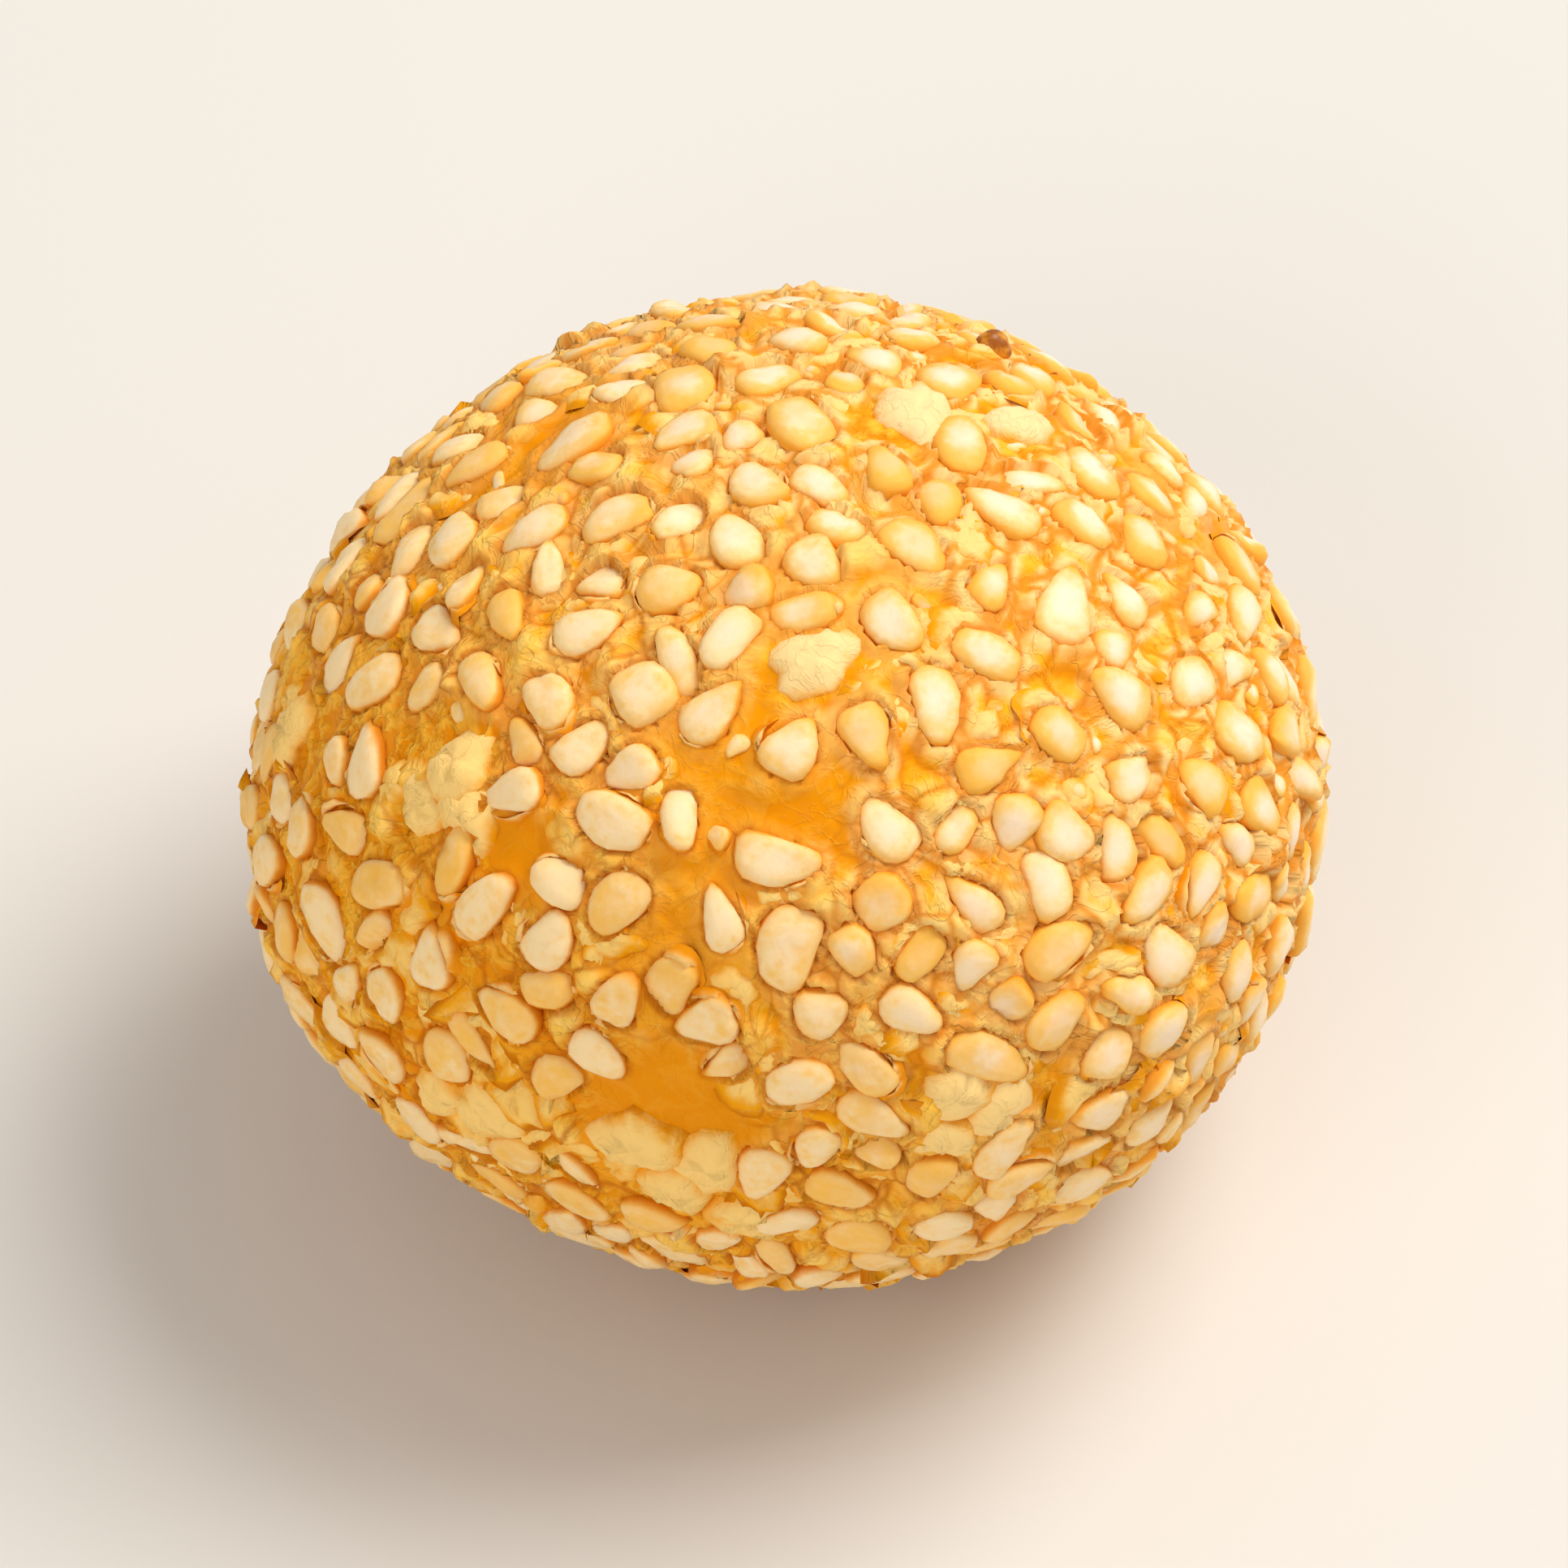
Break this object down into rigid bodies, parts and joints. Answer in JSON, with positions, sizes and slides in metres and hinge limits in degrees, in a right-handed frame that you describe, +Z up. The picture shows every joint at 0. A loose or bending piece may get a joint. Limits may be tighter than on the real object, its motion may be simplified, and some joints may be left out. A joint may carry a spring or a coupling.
{
  "type": "sesame ball",
  "caption": "Deep-fried ball of glutinous rice dough coated in sesame seeds, a little wider than it is tall, standing on a small flat spot.",
  "frame": {"origin": "middle of the ball's box on the surface that it stands on, inside the flat spot", "axes": "+Z up from the flat spot, +X towards the fuller end, -Y towards the viewer"},
  "size_m": [0.044, 0.0428, 0.0372],
  "materials": {
    "fried_dough": "oily golden crust",
    "sesame_seeds": "smooth toasted seed"
  },
  "bodies": {
    "root": {"sesame_ball": "fried_dough"}
  },
  "joints": []
}
